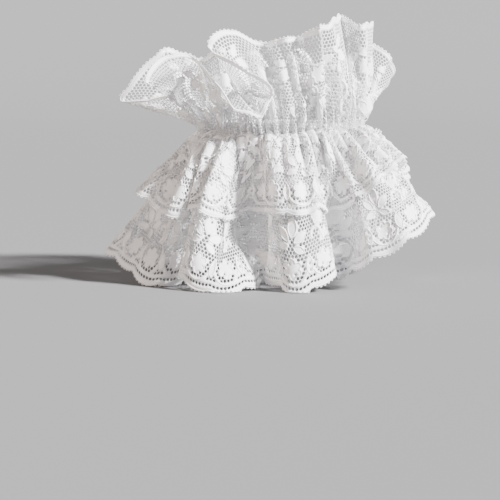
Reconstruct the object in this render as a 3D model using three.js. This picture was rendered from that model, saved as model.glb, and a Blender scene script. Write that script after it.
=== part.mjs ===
// A ruffled lace wrist cuff, worn over the back of the hand and gathered on an elastic.
// One strip of lace stands up from the elastic and flares towards the forearm. Two more
// hang from it towards the fingers: a short tier lying over a long one. The cuff stands
// on the hem of the long tier, with the hole for the wrist upright.
// Millimetres, +Z up, the back of the hand facing -Y. The hem of each strip is a closed
// curve through the rows of a table, one row for each crest and each valley of its folds.
import * as THREE from "three";

// The oval that the wrist fills, and the elastic round it.
const WRIST_WIDE = 56;
const WRIST_DEEP = 42;
const ELASTIC_THICK = 1.2;
const ELASTIC_HIGH = 8;
const ELASTIC_MIDDLE = 67;
const OVAL_SEGMENTS = 24;

// Lace walls, and the gap kept between pieces that touch.
const WALL = 1;
const GAP = 0.4;
const HEADING_GAP = 1.5;

// Depth of each strip, from the elastic to the tips of its scallops.
const UPPER_DEPTH = 50;
const SHORT_DEPTH = 44;
const LONG_DEPTH = 74;
const SHORT_FLARE = 0.8;

// Scallops along a hem: four columns of the wall make one, and one eyelet sits in it.
const COLUMNS_PER_SCALLOP = 4;
const SCALLOP_HEIGHT = 2.4;
const SCALLOP_SHAPE = [0, 0.72, 1, 0.72];
const EYELET_COLUMNS = [1, 2];
const EYELET_TOP = 9;
const EYELET_BOTTOM = 5.5;
const SCALLOPS = { upper: 34, short: 30, long: 36 };

// How far along its lead a line of the strip has its bend, as a share of its length.
const BEND_SHARE = 0.35;

// from: degrees round the elastic where this line of the strip is gathered, 0 at the
// back of the hand and positive to the right. lead: degrees above level that it sets off
// at. x, y, z: where it meets the hem, measured from the wrist's axis and the surface
// that the cuff stands on.
const LONG_FOLDS = [
  { from: -180, lead: -38, x: 0, y: 51, z: -1.5 },
  { from: -165, lead: -38, x: -14, y: 33, z: 0 },
  { from: -150, lead: -38, x: -31, y: 47, z: -1.5 },
  { from: -136, lead: -38, x: -36, y: 29, z: 0 },
  { from: -120, lead: -38, x: -60, y: 30, z: 4 },
  { from: -106, lead: -38, x: -56, y: 12, z: 5 },
  { from: -90, lead: -38, x: -81, y: 3, z: 13 },
  { from: -78, lead: -38, x: -70, y: -14, z: 6 },
  { from: -67, lead: -38, x: -58, y: -29, z: -0.5 },
  { from: -58, lead: -38, x: -44, y: -22, z: 2 },
  { from: -48, lead: -38, x: -47, y: -37, z: 5 },
  { from: -37, lead: -38, x: -31, y: -50, z: -1.5 },
  { from: -27, lead: -38, x: -15, y: -43, z: 1 },
  { from: -18, lead: -38, x: -9, y: -32, z: 2 },
  { from: -9, lead: -38, x: -4, y: -43, z: 2 },
  { from: 2, lead: -36, x: 6, y: -51, z: -1.5 },
  { from: 14, lead: -30, x: 21, y: -46, z: 6 },
  { from: 23, lead: -24, x: 25, y: -33, z: 5 },
  { from: 31, lead: -16, x: 35, y: -47, z: 12 },
  { from: 42, lead: -12, x: 51, y: -50, z: 21 },
  { from: 55, lead: -10, x: 65, y: -44, z: 29 },
  { from: 68, lead: -10, x: 67, y: -29, z: 32 },
  { from: 82, lead: -12, x: 49, y: -4, z: 9 },
  { from: 96, lead: -14, x: 61, y: 22, z: 22 },
  { from: 108, lead: -18, x: 60, y: 42, z: 34 },
  { from: 120, lead: -26, x: 46, y: 47, z: 26 },
  { from: 133, lead: -34, x: 37, y: 35, z: 5 },
  { from: 148, lead: -38, x: 26, y: 50, z: -1.5 },
  { from: 163, lead: -38, x: 12, y: 33, z: 0 },
];
const UPPER_FOLDS = [
  { from: -180, lead: 62, x: -4, y: 48, z: 92 },
  { from: -164, lead: 62, x: -12, y: 32, z: 103 },
  { from: -148, lead: 62, x: -30, y: 44, z: 93 },
  { from: -134, lead: 62, x: -28, y: 26, z: 103 },
  { from: -120, lead: 62, x: -46, y: 31, z: 96 },
  { from: -108, lead: 62, x: -39, y: 15, z: 104 },
  { from: -97, lead: 62, x: -57, y: 10, z: 103 },
  { from: -90, lead: 58, x: -67, y: 2, z: 91 },
  { from: -82, lead: 52, x: -73, y: -8, z: 81 },
  { from: -72, lead: 58, x: -39, y: -14, z: 99 },
  { from: -62, lead: 56, x: -31, y: -38, z: 91 },
  { from: -53, lead: 50, x: -21, y: -53, z: 79 },
  { from: -44, lead: 44, x: -10, y: -56, z: 75 },
  { from: -36, lead: 50, x: -7, y: -46, z: 86 },
  { from: -29, lead: 58, x: -20, y: -43, z: 99 },
  { from: -22, lead: 62, x: -35, y: -36, z: 108 },
  { from: -13, lead: 66, x: -26, y: -29, z: 116 },
  { from: -4, lead: 66, x: -13, y: -24, z: 107 },
  { from: 8, lead: 64, x: -2, y: -28, z: 112 },
  { from: 20, lead: 62, x: 8, y: -27, z: 113 },
  { from: 32, lead: 58, x: 14, y: -40, z: 107 },
  { from: 44, lead: 64, x: 20, y: -23, z: 112 },
  { from: 56, lead: 68, x: 24, y: -5, z: 118 },
  { from: 68, lead: 62, x: 33, y: -15, z: 105 },
  { from: 80, lead: 64, x: 40, y: 5, z: 115 },
  { from: 90, lead: 62, x: 36, y: 16, z: 109 },
  { from: 100, lead: 60, x: 46, y: 13, z: 99 },
  { from: 111, lead: 56, x: 48, y: 29, z: 90 },
  { from: 122, lead: 58, x: 40, y: 40, z: 86 },
  { from: 136, lead: 62, x: 23, y: 30, z: 103 },
  { from: 150, lead: 62, x: 20, y: 46, z: 92 },
  { from: 165, lead: 62, x: 7, y: 31, z: 103 },
];

const radians = THREE.MathUtils.degToRad;

// A point on the wrist's oval, pushed out by outset, and the way out from there.
function ovalPoint(degrees, outset, height) {
  const turn = radians(degrees);
  return new THREE.Vector3(
    (WRIST_WIDE / 2 + outset) * Math.sin(turn),
    -(WRIST_DEEP / 2 + outset) * Math.cos(turn),
    height,
  );
}

function wayOut(degrees) {
  const turn = radians(degrees);
  return new THREE.Vector3(
    Math.sin(turn) * WRIST_DEEP,
    -Math.cos(turn) * WRIST_WIDE,
    0,
  ).normalize();
}

// The from and lead columns between the table's rows.
function gatheredAt(folds, share) {
  const place = share * folds.length;
  const row = folds[Math.floor(place) % folds.length];
  const next = folds[(Math.floor(place) + 1) % folds.length];
  const part = place - Math.floor(place);
  return {
    turn: row.from + ((next.from - row.from + 360) % 360) * part,
    rise: radians(row.lead + (next.lead - row.lead) * part),
  };
}

// One line of the strip, from the elastic to the hem. It leaves along lead.
function foldLine(start, lead, end) {
  const bend = start.clone().addScaledVector(lead, BEND_SHARE * start.distanceTo(end));
  return new THREE.QuadraticBezierCurve3(start, bend, end);
}

// The lines of one strip, evenly spaced along its hem.
function foldLines({ folds, columns, outset, height }) {
  const hem = new THREE.CatmullRomCurve3(
    folds.map(({ x, y, z }) => new THREE.Vector3(x, y, z)),
    true,
    "catmullrom",
    0.5,
  );
  hem.arcLengthDivisions = 2000;
  return Array.from({ length: columns }, (_, column) => {
    const share = hem.getUtoTmapping(column / columns);
    const { turn, rise } = gatheredAt(folds, share);
    const lead = wayOut(turn).multiplyScalar(Math.cos(rise));
    lead.z = Math.sin(rise);
    return foldLine(ovalPoint(turn, outset, height), lead, hem.getPoint(share));
  });
}

// Rows of the wall, as distances from the elastic. The last is cut to the scallops, and
// the strip between EYELET_TOP and EYELET_BOTTOM above the hem holds the eyelets.
function rowDistances(inner, depth) {
  return [...inner, depth - EYELET_TOP, depth - EYELET_BOTTOM, depth];
}

// The middle of the wall: points[column][row].
function middleOf(lines, distances, depth) {
  return lines.map((line, column) => {
    const notch = 1 - SCALLOP_SHAPE[column % COLUMNS_PER_SCALLOP];
    return distances.map((distance, row) => {
      const cut = row === distances.length - 1 ? notch * SCALLOP_HEIGHT : 0;
      return line.getPointAt(Math.min(1, (distance - cut) / depth));
    });
  });
}

// Unit normals of the middle, pointing away from the wrist.
function normalsOf(middle, side) {
  const columns = middle.length;
  const rows = middle[0].length;
  return middle.map((line, column) => {
    const before = middle[(column + columns - 1) % columns];
    const after = middle[(column + 1) % columns];
    return line.map((_, row) => {
      const along = line[Math.min(row + 1, rows - 1)]
        .clone()
        .sub(line[Math.max(row - 1, 0)]);
      const round = after[row].clone().sub(before[row]);
      return along.cross(round).normalize().multiplyScalar(side);
    });
  });
}

function shifted(middle, normals, distance) {
  return middle.map((line, column) =>
    line.map((point, row) => {
      const moved = point.clone().addScaledVector(normals[column][row], distance(row));
      moved.z = Math.max(moved.z, 0);
      return moved;
    }),
  );
}

// A closed wall round the middle, with an eyelet through it in every scallop.
function laceWall(middle, side) {
  const columns = middle.length;
  const rows = middle[0].length;
  const normals = normalsOf(middle, side);
  const outer = shifted(middle, normals, () => WALL / 2);
  const inner = shifted(middle, normals, () => -WALL / 2);
  const corners = [];
  const face = (a, b, c, d) => {
    const ring = side > 0 ? [a, c, b, a, d, c] : [a, b, c, a, c, d];
    ring.forEach((point) => corners.push(point.x, point.y, point.z));
  };
  const eyeletRow = rows - 3;
  const open = (column, row) =>
    row === eyeletRow && EYELET_COLUMNS.includes(column % COLUMNS_PER_SCALLOP);
  for (let column = 0; column < columns; column++) {
    const next = (column + 1) % columns;
    const before = (column + columns - 1) % columns;
    face(inner[column][0], inner[next][0], outer[next][0], outer[column][0]);
    face(
      outer[column][rows - 1],
      outer[next][rows - 1],
      inner[next][rows - 1],
      inner[column][rows - 1],
    );
    for (let row = 0; row < rows - 1; row++) {
      const under = row + 1;
      if (!open(column, row)) {
        face(outer[column][row], outer[next][row], outer[next][under], outer[column][under]);
        face(inner[next][row], inner[column][row], inner[column][under], inner[next][under]);
        continue;
      }
      face(inner[column][under], inner[next][under], outer[next][under], outer[column][under]);
      face(outer[column][row], outer[next][row], inner[next][row], inner[column][row]);
      if (!open(before, row)) {
        face(inner[column][row], inner[column][under], outer[column][under], outer[column][row]);
      }
      if (!open(next, row)) {
        face(outer[next][row], outer[next][under], inner[next][under], inner[next][row]);
      }
    }
  }
  const geometry = new THREE.BufferGeometry();
  geometry.setAttribute("position", new THREE.Float32BufferAttribute(corners, 3));
  geometry.computeVertexNormals();
  return geometry;
}

function elasticRing() {
  const ring = new THREE.Shape();
  const a = WRIST_WIDE / 2;
  const b = WRIST_DEEP / 2;
  ring.absellipse(0, 0, a + ELASTIC_THICK, b + ELASTIC_THICK, 0, 2 * Math.PI);
  const hole = new THREE.Path();
  hole.absellipse(0, 0, a, b, 0, 2 * Math.PI);
  ring.holes.push(hole);
  const geometry = new THREE.ExtrudeGeometry(ring, {
    depth: ELASTIC_HIGH,
    bevelEnabled: false,
    curveSegments: OVAL_SEGMENTS,
  });
  geometry.translate(0, 0, ELASTIC_MIDDLE - ELASTIC_HIGH / 2);
  return geometry;
}

// The strip that flares towards the forearm.
function upperRuffle() {
  const columns = SCALLOPS.upper * COLUMNS_PER_SCALLOP;
  const lines = foldLines({
    folds: UPPER_FOLDS,
    columns,
    outset: ELASTIC_THICK + GAP + WALL / 2,
    height: ELASTIC_MIDDLE + HEADING_GAP,
  });
  const distances = rowDistances([0, 5, 14, 27], UPPER_DEPTH);
  return laceWall(middleOf(lines, distances, UPPER_DEPTH), -1);
}

function lowerLines(columns) {
  return foldLines({
    folds: LONG_FOLDS,
    columns,
    outset: ELASTIC_THICK + GAP + WALL / 2,
    height: ELASTIC_MIDDLE - HEADING_GAP,
  });
}

// The strip whose hem the cuff stands on.
function longRuffle() {
  const lines = lowerLines(SCALLOPS.long * COLUMNS_PER_SCALLOP);
  const distances = rowDistances([0, 6, 18, 33, 49], LONG_DEPTH);
  return laceWall(middleOf(lines, distances, LONG_DEPTH), 1);
}

// The overlay: it follows the long strip's folds from just outside them, and flares a
// little away from them towards its own hem.
function shortRuffle() {
  const lines = lowerLines(SCALLOPS.short * COLUMNS_PER_SCALLOP);
  const distances = rowDistances([0, 6, 18], SHORT_DEPTH);
  const below = middleOf(lines, distances, LONG_DEPTH);
  const middle = shifted(below, normalsOf(below, 1), (row) => {
    const share = distances[row] / SHORT_DEPTH;
    return WALL + GAP + SHORT_FLARE * share * share;
  });
  return laceWall(middle, 1);
}

const material = (color, roughness) =>
  new THREE.MeshStandardMaterial({ color, roughness, metalness: 0 });
const laceWhite = material(0xf4f2f4, 0.7);
const laceShade = material(0xe9e4ea, 0.72);
const elasticWhite = material(0xf7f6f2, 0.85);

const pieces = [
  { name: "wrist_elastic", geometry: elasticRing(), finish: elasticWhite },
  { name: "upper_ruffle", geometry: upperRuffle(), finish: laceWhite },
  { name: "short_ruffle", geometry: shortRuffle(), finish: laceWhite },
  { name: "long_ruffle", geometry: longRuffle(), finish: laceShade },
];

const cuff = new THREE.Group();
for (const { name, geometry, finish } of pieces) {
  const piece = new THREE.Mesh(geometry, finish);
  piece.name = name;
  cuff.add(piece);
}

// The origin is at the middle of the cuff's footprint.
const middle = new THREE.Box3().setFromObject(cuff).getCenter(new THREE.Vector3());
cuff.position.set(-middle.x, -middle.y, 0);

export default cuff;
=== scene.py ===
# %% [markdown]
# # A ruffled lace wrist cuff
# The real cuff is nylon lace, knitted flat and gathered on a narrow elastic. One strip
# stands up from the elastic, and two hang from it, a short one over a long one. This
# lesson dresses the plain solids of such a cuff. The cloth is worked out in code first,
# as a surface with folds and pleats. Then the lace is knitted over it as a real mesh of
# threads and holes, so that it can be seen through from every side.

import math

import bpy
import numpy as np
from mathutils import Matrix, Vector


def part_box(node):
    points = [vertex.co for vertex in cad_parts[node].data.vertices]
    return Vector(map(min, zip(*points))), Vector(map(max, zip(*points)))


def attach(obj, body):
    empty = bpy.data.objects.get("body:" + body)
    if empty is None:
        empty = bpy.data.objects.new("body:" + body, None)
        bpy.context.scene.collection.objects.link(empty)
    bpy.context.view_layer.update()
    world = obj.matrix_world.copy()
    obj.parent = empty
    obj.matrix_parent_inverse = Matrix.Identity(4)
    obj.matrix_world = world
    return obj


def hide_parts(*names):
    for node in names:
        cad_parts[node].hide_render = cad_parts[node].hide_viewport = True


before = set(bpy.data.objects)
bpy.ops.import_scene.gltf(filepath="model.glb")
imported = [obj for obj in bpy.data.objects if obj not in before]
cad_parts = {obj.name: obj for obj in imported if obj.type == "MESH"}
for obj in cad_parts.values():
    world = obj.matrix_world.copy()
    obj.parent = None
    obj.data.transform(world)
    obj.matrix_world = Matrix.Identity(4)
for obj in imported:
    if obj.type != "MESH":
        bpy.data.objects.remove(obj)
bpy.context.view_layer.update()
elastic_low, elastic_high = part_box("wrist_elastic")

# %% [markdown]
# ## Where the cuff's own axis lies
# The fold tables below count from the axis of the elastic, and their heights from the
# ground that the cuff stands on. The frame's origin is the middle of the footprint, so
# the axis is found from the elastic's box. The cuff's lengths are in millimetres until
# a mesh is made, and then in metres.

# %% Axis and sizes
MM = 0.001
ELASTIC_THICK = 1.2
axis_x = (elastic_low.x + elastic_high.x) / 2 / MM
axis_y = (elastic_low.y + elastic_high.y) / 2 / MM
HOLE_WIDE = (elastic_high.x - elastic_low.x) / MM - 2 * ELASTIC_THICK
HOLE_DEEP = (elastic_high.y - elastic_low.y) / MM - 2 * ELASTIC_THICK
ELASTIC_MIDDLE = (elastic_low.z + elastic_high.z) / 2 / MM
print("axis", round(axis_x, 2), round(axis_y, 2), "hole", round(HOLE_WIDE), round(HOLE_DEEP))

# %% [markdown]
# ## The camera comes first
# The cuff was photographed nearly square to its front. The camera looks a little down
# on it, from far enough away that the near folds don't swell. It is set before anything
# is modelled, because every fold is judged through it.

# %% Camera
MM_FOR_A_PIXEL = 0.45
PICTURE_WIDE = 500
AXIS_AT_PIXEL = (284, 131)
CAMERA_AWAY = 900
CAMERA_ABOVE = 6
SENSOR_WIDE = 36

rise = math.radians(CAMERA_ABOVE)
aim_across = (PICTURE_WIDE / 2 - AXIS_AT_PIXEL[0]) * MM_FOR_A_PIXEL
aim_down = (PICTURE_WIDE / 2 - AXIS_AT_PIXEL[1]) * MM_FOR_A_PIXEL / math.cos(rise)
aim = Vector((axis_x + aim_across, axis_y, ELASTIC_MIDDLE - aim_down))
away = Vector((0, -math.cos(rise), math.sin(rise)))
camera = bpy.data.objects.new("camera", bpy.data.cameras.new("camera"))
camera.data.sensor_width = SENSOR_WIDE
camera.data.lens = SENSOR_WIDE * CAMERA_AWAY / (PICTURE_WIDE * MM_FOR_A_PIXEL)
camera.location = (aim + away * CAMERA_AWAY) * MM
camera.rotation_euler = (-away).to_track_quat("-Z", "Y").to_euler()
bpy.context.scene.collection.objects.link(camera)
bpy.context.scene.camera = camera
print("lens", round(camera.data.lens, 1))

# %% [markdown]
# ## The folds of each strip
# A gathered strip is known by its hem, which swings in and out and up and down. Each
# table has a row for each crest and valley of a hem, and a few between them. The first
# column is the turn round the elastic where that line of cloth is gathered, 0 at the
# front. The second is the lead, how steeply it sets off. The rest is where it meets the
# hem. The solids were shaped from rows like these. To follow the photograph more
# closely, some rows have moved since, and three were added above the elastic. The hem
# there is up to sixteen millimetres from the solids' own.

# %% Folds that hang: turn, lead, x, y, z
LONG_FOLDS = [
    (-180, -38, 0, 51, -1.5),
    (-165, -38, -14, 33, 0),
    (-150, -38, -31, 47, -1.5),
    (-136, -38, -36, 29, 0),
    (-120, -38, -60, 30, 4),
    (-106, -38, -56, 12, 5),
    (-90, -38, -81, 3, 13),
    (-78, -38, -70, -14, 6),
    (-67, -38, -58, -29, -0.5),
    (-58, -38, -44, -22, 2),
    (-48, -38, -47, -37, 5),
    (-37, -38, -31, -50, -1.5),
    (-27, -38, -15, -43, 1),
    (-18, -38, -9, -32, 2),
    (-9, -38, -4, -43, 2),
    (2, -36, 6, -51, -1.5),
    (14, -30, 21, -46, 6),
    (23, -24, 25, -33, 5),
    (31, -16, 35, -47, 12),
    (42, -12, 51, -50, 21),
    (55, -10, 61.5, -44, 29.5),
    (68, -10, 63.5, -29, 32),
    (82, -12, 49, -4, 18),
    (96, -14, 61, 22, 22),
    (108, -18, 60, 42, 34),
    (120, -26, 46, 47, 26),
    (133, -34, 37, 35, 5),
    (148, -38, 26, 50, -1.5),
    (163, -38, 12, 33, 0),
]
print("rows for the hem below the elastic", len(LONG_FOLDS))

# %% Folds that stand: turn, lead, x, y, z
UPPER_FOLDS = [
    (-180, 62, -4, 48, 92),
    (-164, 62, -12, 32, 103),
    (-148, 62, -30, 44, 93),
    (-134, 62, -28, 26, 103),
    (-120, 62, -46, 31, 96),
    (-108, 62, -38, 14, 95),
    (-97, 52, -53, 3, 103.5),
    (-91, 38, -66, 3, 91.5),
    (-85, 20, -73, 3, 80),
    (-79, 26, -48, -6, 84),
    (-74, 33, -61, -25, 88.5),
    (-70, 44, -51.5, -18, 101),
    (-64, 56, -38, -15, 99),
    (-58, 56, -31, -38, 91),
    (-51, 72, -21, -50, 79),
    (-43, 76, -10, -52, 75),
    (-36, 66, -7, -46, 86),
    (-29, 58, -20, -43, 98),
    (-22, 62, -34, -36, 105),
    (-13, 66, -24, -29, 112.5),
    (-4, 66, -13, -24, 107),
    (8, 64, -2, -28, 107.5),
    (20, 62, 8, -27, 110),
    (32, 58, 15, -37, 113),
    (44, 64, 20, -23, 116),
    (56, 68, 24, -5, 118),
    (68, 62, 33, -15, 114),
    (80, 64, 40, 5, 115),
    (90, 62, 36, 16, 109),
    (100, 58, 49, 12, 99),
    (111, 54, 50.5, 29, 90),
    (122, 58, 40, 40, 86),
    (136, 62, 23, 30, 103),
    (150, 62, 20, 46, 92),
    (165, 62, 7, 31, 103),
]
print("rows for the hem above the elastic", len(UPPER_FOLDS))

# %% [markdown]
# ## The hem as a curve
# A smooth closed curve through the rows is the hem. A curve object could carry it, but
# plain arrays of points are easier to measure and to knit over. The turn and the lead
# go along with the place, and everything is read again at equal steps of hem, because
# the lace was knitted with equal scallops.

# %% Through the rows
HEM_SAMPLES = 6000


def hem_points(folds, count):
    """Points at equal steps along the closed hem, with the turn and lead of each."""
    rows = np.array(folds, float)
    places = np.linspace(0, len(rows), HEM_SAMPLES + 1)[:-1]
    low = np.floor(places).astype(int)
    part = (places - low)[:, None]
    a, b, c, d = (rows[(low + step) % len(rows), 2:] for step in (-1, 0, 1, 2))
    hem = 0.5 * (
        2 * b
        + (c - a) * part
        + (2 * a - 5 * b + 4 * c - d) * part**2
        + (3 * b - a - 3 * c + d) * part**3
    )
    turn, lead = rows[low % len(rows), :2].T
    next_turn, next_lead = rows[(low + 1) % len(rows), :2].T
    turn = np.unwrap(turn + (next_turn - turn) % 360 * part[:, 0], period=360)
    lead = lead + (next_lead - lead) * part[:, 0]
    steps = np.linalg.norm(np.roll(hem, -1, 0) - hem, axis=1)
    along = np.concatenate([[0], np.cumsum(steps)])
    wanted = np.arange(count) / count * along[-1]
    turn = np.interp(wanted, along, np.append(turn, turn[0] + 360))
    closed = [np.append(v, v[0]) for v in (*hem.T, lead)]
    x, y, z, lead = (np.interp(wanted, along, v) for v in closed)
    return np.stack([x, y, z], 1), turn, lead


for word, folds in (("long", LONG_FOLDS), ("upper", UPPER_FOLDS)):
    hem = hem_points(folds, HEM_SAMPLES)[0]
    length = np.linalg.norm(np.roll(hem, -1, 0) - hem, axis=1).sum()
    print(word, "hem", round(length), "mm before it is pleated")

# %% [markdown]
# ## From the elastic to the hem
# From each point of the hem one line of cloth runs to the elastic. It leaves the oval
# along its lead and bends over towards the hem. All the lines side by side are the
# strip, a grid that closes round the elastic.

# %% Fading, and the elastic's oval
def fade(v, start, end):
    """1 before start and 0 after end, smoothly."""
    s = np.clip((v - start) / (end - start), 0, 1)
    return 1 - s * s * (3 - 2 * s)


def near_turn(t, turn, half):
    """1 at a turn in degrees, fading to 0 at half to either side."""
    away = np.abs((np.degrees(t) - turn + 180) % 360 - 180)
    return fade(away, 0.2 * half, half)


def oval(t, out, height):
    """Points at the turns t on the elastic's inner oval, made bigger by out."""
    x = (HOLE_WIDE / 2 + out) * np.sin(t)
    y = -(HOLE_DEEP / 2 + out) * np.cos(t)
    return np.stack([x, y, 0 * t + height], 1)


def way_out(t):
    """The level direction square to that oval at the turns t."""
    out = np.stack([np.sin(t) * HOLE_DEEP, -np.cos(t) * HOLE_WIDE, 0 * t], 1)
    return out / np.linalg.norm(out, axis=1)[:, None]


# %% Lines of cloth
BEND_SHARE = 0.35
HEADING_OUT = ELASTIC_THICK + 1.9
LINE_STEPS = 40


def fold_grid(folds, columns, rows, rolls=()):
    """The cloth as points[column, row], row 0 at the elastic, with each column's turn.

    rolls lists turns where the cloth rises further before it rolls over to its hem.
    """
    hem, turn, lead = hem_points(folds, columns)
    t, lead = np.radians(turn), np.radians(lead)
    start = oval(t, HEADING_OUT, ELASTIC_MIDDLE)
    way = way_out(t) * np.cos(lead)[:, None]
    way[:, 2] = np.sin(lead)
    roll = sum(more * near_turn(t, turn, half) for turn, half, more in rolls)
    reach = (BEND_SHARE + roll) * np.linalg.norm(hem - start, axis=1)
    bend = start + way * reach[:, None]
    s = np.linspace(0, 1, LINE_STEPS + 1)[None, :, None]
    line = (1 - s) ** 2 * start[:, None] + 2 * s * (1 - s) * bend[:, None]
    line = line + s**2 * hem[:, None]
    steps = np.linalg.norm(np.diff(line, axis=1), axis=2)
    along = np.concatenate([np.zeros((columns, 1)), np.cumsum(steps, 1)], 1)
    grid = np.empty((columns, rows, 3))
    share = np.linspace(0, 1, rows)
    for column in range(columns):
        wanted = share * along[column, -1]
        for k in range(3):
            grid[column, :, k] = np.interp(wanted, along[column], line[column, :, k])
    return grid, t


def grid_normals(grid, side):
    """Unit normals of a grid that closes round the elastic, pointing away from it."""
    round_it = np.roll(grid, -1, 0) - np.roll(grid, 1, 0)
    down = np.gradient(grid, axis=1)
    normals = side * np.cross(down, round_it)
    return normals / np.maximum(np.linalg.norm(normals, axis=2), 1e-9)[..., None]


# %% [markdown]
# ## Gathers
# Lace three to four times as long as the elastic is drawn up on it, and the cloth has
# to go somewhere. It stands in small pleats at the elastic, which join into middle ones
# further out, then into wide ones, and at last into the big folds of the tables.
# Each family of pleats is an uneven wave round the elastic that comes and goes with the
# distance from it. A cloth simulation would need a very fine mesh to find pleats this
# small, and these come out the same on every run.

# %% Three families of pleats
FROM_THE_ELASTIC, TO_THE_HEM = (-1, 0), (200, 201)
PLEATS = {
    # how many, how crisp, high, uneven, comes between, goes between (mm from the elastic)
    "small": (58, 0.2, 1.8, 0.6, FROM_THE_ELASTIC, (6, 30)),
    "middle": (31, 0.5, 2.3, 0.8, (2, 12), (26, 62)),
    "wide": (17, 0.3, 1.2, 0.5, (8, 30), TO_THE_HEM),
}
LEAN, DRIFT = 0.002, 2.2


def wobble(t, seed):
    """A smooth uneven wave round the elastic, between about -1 and 1."""
    return (
        np.sin(3 * t + 1.7 * seed)
        + 0.8 * np.sin(7 * t + 2.9 * seed)
        + 0.6 * np.sin(13 * t + 4.3 * seed)
    ) / 2


def pleat(t, v, count, seed, crisp):
    """A row of uneven, leaning pleats, from -1 to 1. crisp sharpens their edges."""
    leaning = t + LEAN * v * wobble(t, seed + 2)
    wave = np.sin(count * leaning + DRIFT * wobble(t, seed))
    return (1 - crisp) * wave + crisp * np.arcsin(0.985 * wave) / 1.4


def family(t, v, word, seed, height_seed):
    """One family of pleats, as millimetres off the surface."""
    count, crisp, high, uneven, comes, goes = PLEATS[word]
    high = (high + uneven * wobble(t, height_seed)) * (1 - fade(v, *comes)) * fade(v, *goes)
    return high * pleat(t, v, count, seed, crisp)


at_elastic = family(np.linspace(-np.pi, np.pi, 3000), 0.0, "small", 1, 6)
print("pleats at the elastic stand off up to", round(at_elastic.max(), 1), "mm")

# %% [markdown]
# ## Flat panels, recesses and an uneven seam
# Real gathers aren't the same all round. Between two big folds the cloth lies back from
# the front. Where a fold is pulled taut its pleats calm down. And where the strip is
# stitched down, the line of stitches wanders up and down a little.

# %% Gather a strip
SEAM_WAVE, SEAM_TUCKS = 1.2, 23
LEVEL_AT_SEAM = (1, 7)
FULL_SHARE = 0.62


def set_back(t, v, recesses):
    """How far the cloth lies back between flat panels, from a table of recesses."""
    back = 0
    for start, end, deep, begins, full, fades, gone in recesses:
        turn = np.degrees((t + np.pi) % (2 * np.pi) - np.pi)
        middle, half = (start + end) / 2, (end - start) / 2
        across = fade(np.abs(turn - middle), FULL_SHARE * half, half)
        back = back + deep * across * (1 - fade(v, begins, full)) * fade(v, fades, gone)
    return back


def gather(grid, t, v, side, seed, off, recesses, calm):
    """The grid moved off to its outer side and pleated, square to its own surface."""
    normals = grid_normals(grid, side)
    at_seam = fade(v, *LEVEL_AT_SEAM)[..., None]
    way = at_seam * way_out(t)[:, None] + (1 - at_seam) * normals
    way /= np.linalg.norm(way, axis=2)[..., None]
    t = t[:, None]
    small = family(t, v, "small", 1, 6)
    middle = family(t, v, "middle", 2, 3)
    wide = family(t, v, "wide", seed, seed)
    pleats = (small + middle) * (1 - calm) + wide * (1 - calm / 2)
    back = set_back(t, v, recesses)
    gathered = grid + way * (off + pleats - back)[..., None]
    seam = SEAM_WAVE * (wobble(t, 4) + 0.6 * pleat(t, v, SEAM_TUCKS, 9, 0.0))
    gathered[..., 2] += seam * fade(v, 1, 12)
    return gathered


# %% [markdown]
# ## A cloth to knit over
# The grid is made even along its real hem, pleats and all. After that any place on the
# strip can be read by two lengths, as if it were spread out flat: u along the hem
# and v away from the elastic.

# %% Cloth
CLOTH_STEP = 0.7


class Cloth:
    """A strip as a fine grid, read at any place (u along the hem, v from the elastic)."""

    def __init__(self, grid, depth, side):
        around = np.linalg.norm(np.roll(grid[:, -1], -1, 0) - grid[:, -1], axis=1)
        self.length = around.sum()
        columns = int(self.length / CLOTH_STEP)
        along = np.concatenate([[0], np.cumsum(around)])
        wanted = np.arange(columns) / columns * self.length
        closed = np.concatenate([grid, grid[:1]])
        place = np.interp(wanted, along, np.arange(len(closed)))
        low = np.floor(place).astype(int)
        part = (place - low)[:, None, None]
        self.grid = closed[low] * (1 - part) + closed[low + 1] * part
        self.normals = grid_normals(self.grid, side)
        self.depth, self.side = depth, side

    def read(self, table, u, v):
        """A table of the grid's columns and rows, read between them at u and v."""
        u, v = np.broadcast_arrays(u, v)
        columns, rows = table.shape[:2]
        x = u / self.length * columns
        y = np.clip(v / self.depth * (rows - 1), 0, rows - 1.001)
        i, j = np.floor(x).astype(int), np.floor(y).astype(int)
        a, b = (x - i)[..., None], (y - j)[..., None]
        i, after = i % columns, (i + 1) % columns
        near = table[i, j] * (1 - b) + table[i, j + 1] * b
        far = table[after, j] * (1 - b) + table[after, j + 1] * b
        return near * (1 - a) + far * a

    def facing(self, u, v):
        """Unit normals at u and v."""
        normals = self.read(self.normals, u, v)
        return normals / np.linalg.norm(normals, axis=-1)[..., None]

    def at(self, u, v, off=0.0):
        """Points at u and v, moved off along the normals."""
        return self.read(self.grid, u, v) + self.facing(u, v) * off


# %% [markdown]
# ## The long strip
# It hangs from the elastic, and its hem carries the cuff. Between the left front fold
# and the middle one the cloth lies well back, and there its pleats are calmer.

# %% Long strip
HANGS, STANDS = 1, -1
COLUMNS, LONG_ROWS = 1400, 120
LONG_DEPTH = 74
CLEAR_OF_TABLE = 0.45
LOWER_SEED = 5
CALM_TURN, CALM_HALF, CALM_SHARE = -20, 46, 0.75
LOWER_RECESSES = [
    # from, to, deep, begins, full, starts to fade, gone (turns in degrees, then mm)
    (-44, -12, 10.0, 0, 14, 46, 72),
    (17, 33, 5.0, 10, 30, 60, 74),
    (60, 76, 3.5, 8, 24, 50, 70),
    (-84, -66, 4.0, 8, 24, 50, 70),
]
long_base, long_turn = fold_grid(LONG_FOLDS, COLUMNS, LONG_ROWS)
long_v = np.linspace(0, LONG_DEPTH, LONG_ROWS)[None]
lower_calm = CALM_SHARE * near_turn(long_turn, CALM_TURN, CALM_HALF)[:, None]
long_grid = gather(
    long_base, long_turn, long_v, HANGS, LOWER_SEED, 0.0, LOWER_RECESSES, lower_calm
)
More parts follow.
